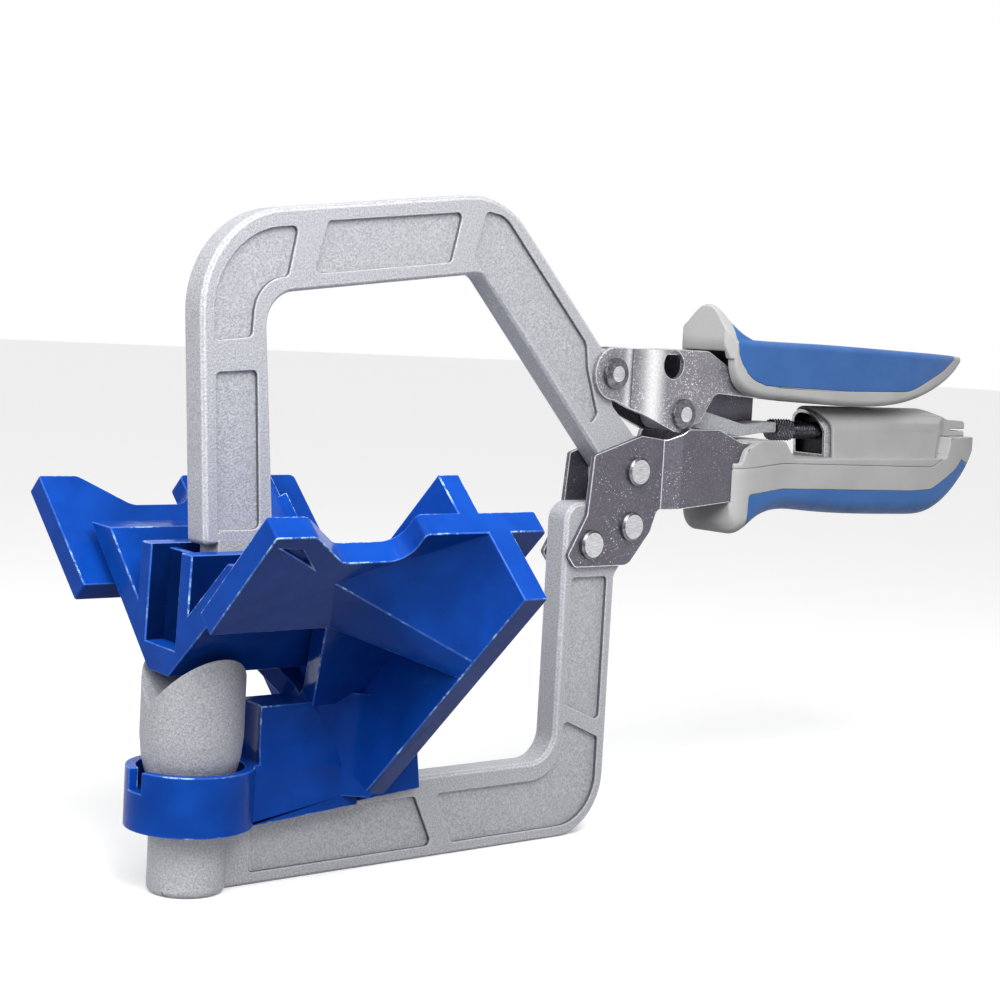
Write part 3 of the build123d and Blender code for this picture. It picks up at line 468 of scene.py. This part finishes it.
for node in softEdges:
    softened(node)
print("edges rounded:", len(softEdges))


# node trees for what repeats: rivet heads, and the ridges of the screw
def newTree(name, sizes, finishNames):
    tree = bpy.data.node_groups.new(name, "GeometryNodeTree")
    tree.interface.new_socket("Geometry", in_out="OUTPUT", socket_type="NodeSocketGeometry")
    tree.interface.new_socket("Spots", in_out="INPUT", socket_type="NodeSocketGeometry")
    for label in sizes:
        tree.interface.new_socket(label, in_out="INPUT", socket_type="NodeSocketFloat")
    for label in finishNames:
        tree.interface.new_socket(label, in_out="INPUT", socket_type="NodeSocketMaterial")
    return tree, addNode(tree, "NodeGroupInput").outputs


def onSpots(tree, given, shape, finish):
    # the shape on each of the given spots, made real, in one finish
    placed = addNode(tree, "GeometryNodeInstanceOnPoints",
                     {"Points": given["Spots"], "Instance": shape}).outputs[0]
    whole = addNode(tree, "GeometryNodeRealizeInstances", {"Geometry": placed}).outputs[0]
    return addNode(tree, "GeometryNodeSetMaterial",
                   {"Geometry": whole, "Material": given[finish]}).outputs[0]


def grown(name, tree, spots, values):
    # the tree's result on these points, as a plain mesh
    mesh = bpy.data.meshes.new(name)
    mesh.from_pydata([tuple(spot) for spot in spots], [], [])
    piece = linked(name, mesh)
    modifier = piece.modifiers.new(name, "NODES")
    modifier.node_group = tree
    for socket in tree.interface.items_tree:
        if socket.name in values:
            modifier[socket.identifier] = values[socket.name]
    return smoothed(baked(piece))


rivetSet = {
    "bodies": {  # body: its rivets, radius of the head and of its bright face in mm
        "frame": (("arm_pivot_rivet", "frame_rivet_low", "frame_rivet_high"), 3.95, 3.3),
        "upper_arm": (("lever_pivot_rivet",), 4.2, 2.1), "lever": (("link_rivet",), 4.2, 2.1),
    },
    "headHeight": 1.5, "shankRadius": 2.5, "facets": 40,
    "rings": 11,  # side segments of the bar; ring 0 and ring 11 are the two flat faces
    # ring, how much of the way from the face's radius to the head's, share of the head's height
    "profile": ((4, 1.0, 0.0), (3, 1.0, 0.45), (2, 0.93, 0.62), (1, 0.06, 0.95), (0, 0.0, 1.0)),
    "flatFace": 0.97,  # how squarely a face looks along the rivet to be its bright end
}


def rivetTree():
    # a bar whose rings are moved to a shank, two flat heads and their rounded shoulders
    sizes = ("Facets", "Half Grip", "Shank Radius", "Head Radius", "Face Radius", "Head Height")
    tree, given = newTree("rivets", sizes, ("Side Finish", "Face Finish"))
    rings = rivetSet["rings"]
    bar = addNode(tree, "GeometryNodeMeshCylinder", {"Vertices": given["Facets"]},
                  values={"Side Segments": rings, "Radius": 1.0, "Depth": 1.0}).outputs["Mesh"]
    spot = addNode(tree, "GeometryNodeInputPosition").outputs[0]
    axes = addNode(tree, "ShaderNodeSeparateXYZ", {0: spot}).outputs
    side = addNode(tree, "ShaderNodeMath", {0: axes["Z"]}, {"operation": "SIGN"}).outputs[0]
    height = addNode(tree, "ShaderNodeMath", {0: axes["Z"]}, {"operation": "ABSOLUTE"}).outputs[0]
    radius, reach = given["Shank Radius"], given["Half Grip"]
    for ring, out, share in rivetSet["profile"]:
        # true for this ring and those outside it, on a bar that is 1 high
        beyond = addNode(tree, "ShaderNodeMath", {0: height}, {"operation": "GREATER_THAN"},
                         {1: 0.5 - (ring + 0.5) / rings}).outputs[0]
        ringRadius = addNode(tree, "ShaderNodeMapRange",
                             {"To Min": given["Face Radius"], "To Max": given["Head Radius"]},
                             values={"Value": out}).outputs[0]
        ringReach = addNode(tree, "ShaderNodeMath", {0: given["Head Height"], 2: given["Half Grip"]},
                            {"operation": "MULTIPLY_ADD"}, {1: share}).outputs[0]
        radius, reach = (
            addNode(tree, "GeometryNodeSwitch", {"Switch": beyond, "False": inner, "True": outer},
                    {"input_type": "FLOAT"}).outputs[0]
            for inner, outer in ((radius, ringRadius), (reach, ringReach)))
    moved = {}  # the bar stands along Z, and the rivet lies along Y
    for axis, a, b, sign in (
            ("X", axes["X"], radius, 1), ("Y", side, reach, 1), ("Z", axes["Y"], radius, -1)):
        product = addNode(tree, "ShaderNodeMath", {0: a, 1: b}, {"operation": "MULTIPLY"}).outputs[0]
        moved[axis] = addNode(tree, "ShaderNodeMath", {0: product}, {"operation": "MULTIPLY"},
                              {1: sign}).outputs[0]
    turned = addNode(tree, "ShaderNodeCombineXYZ", moved).outputs[0]
    rivet = addNode(tree, "GeometryNodeSetPosition", {"Geometry": bar, "Position": turned}).outputs[0]
    dark = onSpots(tree, given, rivet, "Side Finish")
    normal = addNode(tree, "GeometryNodeInputNormal").outputs[0]
    across = addNode(tree, "ShaderNodeSeparateXYZ", {0: normal}).outputs["Y"]
    flatness = addNode(tree, "ShaderNodeMath", {0: across}, {"operation": "ABSOLUTE"}).outputs[0]
    isFace = addNode(tree, "ShaderNodeMath", {0: flatness}, {"operation": "GREATER_THAN"},
                     {1: rivetSet["flatFace"]}).outputs[0]
    done = addNode(tree, "GeometryNodeSetMaterial", {
        "Geometry": dark, "Selection": isFace, "Material": given["Face Finish"]}).outputs[0]
    addNode(tree, "NodeGroupOutput", {"Geometry": done})
    return tree


def setRivets():
    tree = rivetTree()
    for body, (rivets, headRadius, faceRadius) in rivetSet["bodies"].items():
        corners = [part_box(node) for node in rivets]
        spots = [((low.x + high.x) / 2, 0, (low.z + high.z) / 2) for low, high in corners]
        values = {
            "Facets": float(rivetSet["facets"]), "Half Grip": corners[0][1].y - rivetSet["headHeight"] * mm,
            "Shank Radius": rivetSet["shankRadius"] * mm, "Head Radius": headRadius * mm,
            "Face Radius": faceRadius * mm, "Head Height": rivetSet["headHeight"] * mm,
            "Side Finish": special["rivet side"], "Face Finish": finishes["rivet_steel"],
        }
        piece = grown("rivets_" + body, tree, spots, values)
        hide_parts(*rivets)
        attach(piece, body)


setRivets()
print("rivets set")

screwSet = {
    "facets": 72,
    "parts": {  # from the screw's head on, in mm; ridges with no pitch are as far apart along as around
        "knurl": {"length": 7.4, "steps": 36, "radius": 3.3, "depth": 0.45, "ridges": 18,
                  "finish": special["knurl"]},
        "thread": {"length": 24.0, "steps": 132, "radius": 2.6, "depth": 0.5, "ridges": 1, "pitch": 1.1,
                   "finish": finishes["black_steel"]},
    },
}


def screwTree():
    # a bar in which a saw pattern in angle and length cuts the knurl's diamonds or the thread
    sizes = ("Facets", "Start", "Length", "Steps", "Radius", "Depth", "Ridges", "Pitch")
    tree, given = newTree("ridged bar", sizes, ("Finish",))
    bar = addNode(tree, "GeometryNodeMeshCylinder", {
        "Vertices": given["Facets"], "Side Segments": given["Steps"],
        "Radius": given["Radius"], "Depth": given["Length"]}).outputs["Mesh"]
    spot = addNode(tree, "GeometryNodeInputPosition").outputs[0]
    axes = addNode(tree, "ShaderNodeSeparateXYZ", {0: spot}).outputs
    angle = addNode(tree, "ShaderNodeMath", {0: axes["Y"], 1: axes["X"]},
                    {"operation": "ARCTAN2"}).outputs[0]
    turns = addNode(tree, "ShaderNodeMath", {0: angle}, {"operation": "DIVIDE"},
                    {1: 2 * math.pi}).outputs[0]
    around = addNode(tree, "ShaderNodeMath", {0: turns, 1: given["Ridges"]},
                     {"operation": "MULTIPLY"}).outputs[0]
    along = addNode(tree, "ShaderNodeMath", {0: axes["Z"], 1: given["Pitch"]},
                    {"operation": "DIVIDE"}).outputs[0]
    crests = []  # a saw for each way of cutting, from 0 up to 0.5 and back once a ridge
    for operation in ("ADD", "SUBTRACT"):
        phase = addNode(tree, "ShaderNodeMath", {0: along, 1: around}, {"operation": operation}).outputs[0]
        crests.append(addNode(tree, "ShaderNodeMath", {0: phase}, {"operation": "PINGPONG"},
                              {1: 0.5}).outputs[0])
    # one ridge is a thread, and more are a knurl, where both ways of cutting meet
    both = addNode(tree, "ShaderNodeMath", {0: crests[0], 1: crests[1]},
                   {"operation": "MINIMUM"}).outputs[0]
    isKnurl = addNode(tree, "ShaderNodeMath", {0: given["Ridges"]}, {"operation": "GREATER_THAN"},
                      {1: 1.5}).outputs[0]
    crest = addNode(tree, "GeometryNodeSwitch", {"Switch": isKnurl, "False": crests[0], "True": both},
                    {"input_type": "FLOAT"}).outputs[0]
    # from 0 on a ridge, where the crest is 0.5, to -1 in the groove
    cut = addNode(tree, "ShaderNodeMath", {0: crest}, {"operation": "MULTIPLY_ADD"},
                  {1: 2.0, 2: -1.0}).outputs[0]
    deep = addNode(tree, "ShaderNodeMath", {0: cut, 1: given["Depth"]},
                   {"operation": "MULTIPLY"}).outputs[0]
    ratio = addNode(tree, "ShaderNodeMath", {0: deep, 1: given["Radius"]},
                    {"operation": "DIVIDE"}).outputs[0]
    flat = addNode(tree, "ShaderNodeVectorMath", {0: spot}, {"operation": "MULTIPLY"},
                   {1: (1, 1, 0)}).outputs[0]
    inward = addNode(tree, "ShaderNodeVectorMath", {0: flat, "Scale": ratio},
                     {"operation": "SCALE"}).outputs[0]
    ridged = addNode(tree, "GeometryNodeSetPosition", {"Geometry": bar, "Offset": inward}).outputs[0]
    middle = addNode(tree, "ShaderNodeMath", {0: given["Length"], 2: given["Start"]},
                     {"operation": "MULTIPLY_ADD"}, {1: 0.5}).outputs[0]
    shift = addNode(tree, "ShaderNodeCombineXYZ", {"X": middle}).outputs[0]
    laid = addNode(tree, "GeometryNodeTransform", {"Geometry": ridged, "Translation": shift},
                   values={"Rotation": (0, math.pi / 2, 0)}).outputs[0]
    addNode(tree, "NodeGroupOutput", {"Geometry": onSpots(tree, given, laid, "Finish")})
    return tree


def setScrew():
    tree = screwTree()
    low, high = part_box("adjusting_screw")
    spot = [(low.x, 0, (low.z + high.z) / 2)]
    start = 0.0
    for key, part in screwSet["parts"].items():
        pitch = part.get("pitch", 2 * math.pi * part["radius"] / part["ridges"])
        values = {
            "Facets": float(screwSet["facets"]), "Start": start * mm, "Length": part["length"] * mm,
            "Steps": float(part["steps"]), "Radius": part["radius"] * mm, "Depth": part["depth"] * mm,
            "Ridges": float(part["ridges"]), "Pitch": pitch * mm, "Finish": part["finish"],
        }
        start += part["length"]
        piece = grown("adjusting_screw_" + key, tree, spot, values)
        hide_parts("adjusting_screw")
        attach(piece, "adjusting_screw")


setScrew()
print("screw cut")


# floor, sky and lamps
skySet = {  # light from below, from the horizon and from straight above, and what the left side adds
    "below": 0.04, "level": 0.2, "above": 0.6, "left": 0.22,
}
floorSet = {  # half its side in metres, its tone and glow where it is seen, its tone where it only lights
    "reach": 6, "seen": 0.96, "glow": 0.16, "bounce": 0.14, "roughness": 0.95,
}


def seenDirectly(tree):
    # 1 for what the camera, a reflection or a clear piece shows, 0 for light that falls on the clamp
    rays = addNode(tree, "ShaderNodeLightPath").outputs
    seen = rays["Is Camera Ray"]
    for other in ("Is Glossy Ray", "Is Transmission Ray"):
        seen = addNode(tree, "ShaderNodeMath", {0: seen, 1: rays[other]},
                       {"operation": "MAXIMUM"}).outputs[0]
    return seen


def setFloor():
    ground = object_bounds()[0].z
    reach = floorSet["reach"]
    corners = ((-reach, -reach), (reach, -reach), (reach, reach), (-reach, reach))
    mesh = bpy.data.meshes.new("floor")
    mesh.from_pydata([(x, y, ground) for x, y in corners], [], [(0, 1, 2, 3)])
    floor = linked("floor", mesh)
    material, tree, shader = startMaterial("pale floor")
    seen = seenDirectly(tree)
    for name, unseen, shown in (("Base Color", floorSet["bounce"], floorSet["seen"]),
                                ("Emission Strength", 0.0, floorSet["glow"])):
        amount = addNode(tree, "ShaderNodeMapRange", {"Value": seen},
                         values={"To Min": unseen, "To Max": shown}).outputs[0]
        tree.links.new(amount, shader.inputs[name])
    shader.inputs["Emission Color"].default_value = (1, 1, 1, 1)
    shader.inputs["Roughness"].default_value = floorSet["roughness"]
    shader.inputs["Specular IOR Level"].default_value = 0.0
    mesh.materials.append(material)


def setSky():
    world = bpy.data.worlds.new("studio")
    bpy.context.scene.world = world
    world.use_nodes = True
    tree = world.node_tree
    tree.nodes.clear()
    way = addNode(tree, "ShaderNodeTexCoord").outputs["Generated"]
    axes = addNode(tree, "ShaderNodeSeparateXYZ", {0: way}).outputs
    level = None
    for axis, start, end, low, high in (
            ("Z", -1, 0, skySet["below"], skySet["level"]),
            ("Z", 0, 1, 0, skySet["above"] - skySet["level"]),
            ("X", 1, -1, 0, skySet["left"])):
        share = addNode(tree, "ShaderNodeMapRange", {"Value": axes[axis]}, values={
            "From Min": start, "From Max": end, "To Min": low, "To Max": high}).outputs[0]
        if level:
            share = addNode(tree, "ShaderNodeMath", {0: level, 1: share}, {"operation": "ADD"}).outputs[0]
        level = share
    white = {"Color": (1, 1, 1, 1)}
    soft = addNode(tree, "ShaderNodeBackground", {"Strength": level}, values=white).outputs[0]
    plain = addNode(tree, "ShaderNodeBackground", values=white).outputs[0]
    both = addNode(tree, "ShaderNodeMixShader", {0: seenDirectly(tree), 1: soft, 2: plain}).outputs[0]
    addNode(tree, "ShaderNodeOutputWorld", {"Surface": both})


lamps = [  # direction that the light comes from, strength, width in degrees
    ((-1.0, -0.4, 0.6), 0.4, 30),
    ((0.3, 0.6, 1.0), 0.33, 50),
]
softboxes = [  # place and target in mm, size in metres, power in watts
    ((-20, -300, 370), (90, 0, 50), 0.3, 2.3),
    ((-190, -80, 210), (40, 0, 50), 0.2, 0.42),
]


def addLamp(name, light, place, way):
    # way: from what it lights back to the lamp
    lamp = linked(name, light)
    lamp.location = place
    lamp.rotation_mode = "QUATERNION"
    lamp.rotation_quaternion = way.to_track_quat("Z", "Y")


def lightLamps():
    for number, (way, strength, width) in enumerate(lamps):
        light = bpy.data.lights.new("far_softbox_%d" % number, "SUN")
        light.energy, light.angle = strength, math.radians(width)
        addLamp(light.name, light, Vector(way), Vector(way))
    for number, (place, target, size, power) in enumerate(softboxes):
        light = bpy.data.lights.new("near_softbox_%d" % number, "AREA")
        light.energy, light.size = power, size
        addLamp(light.name, light, at(*place), at(*place) - at(*target))


setFloor()
setSky()
lightLamps()
bpy.context.scene.view_settings.view_transform = "Standard"
print("stage set")
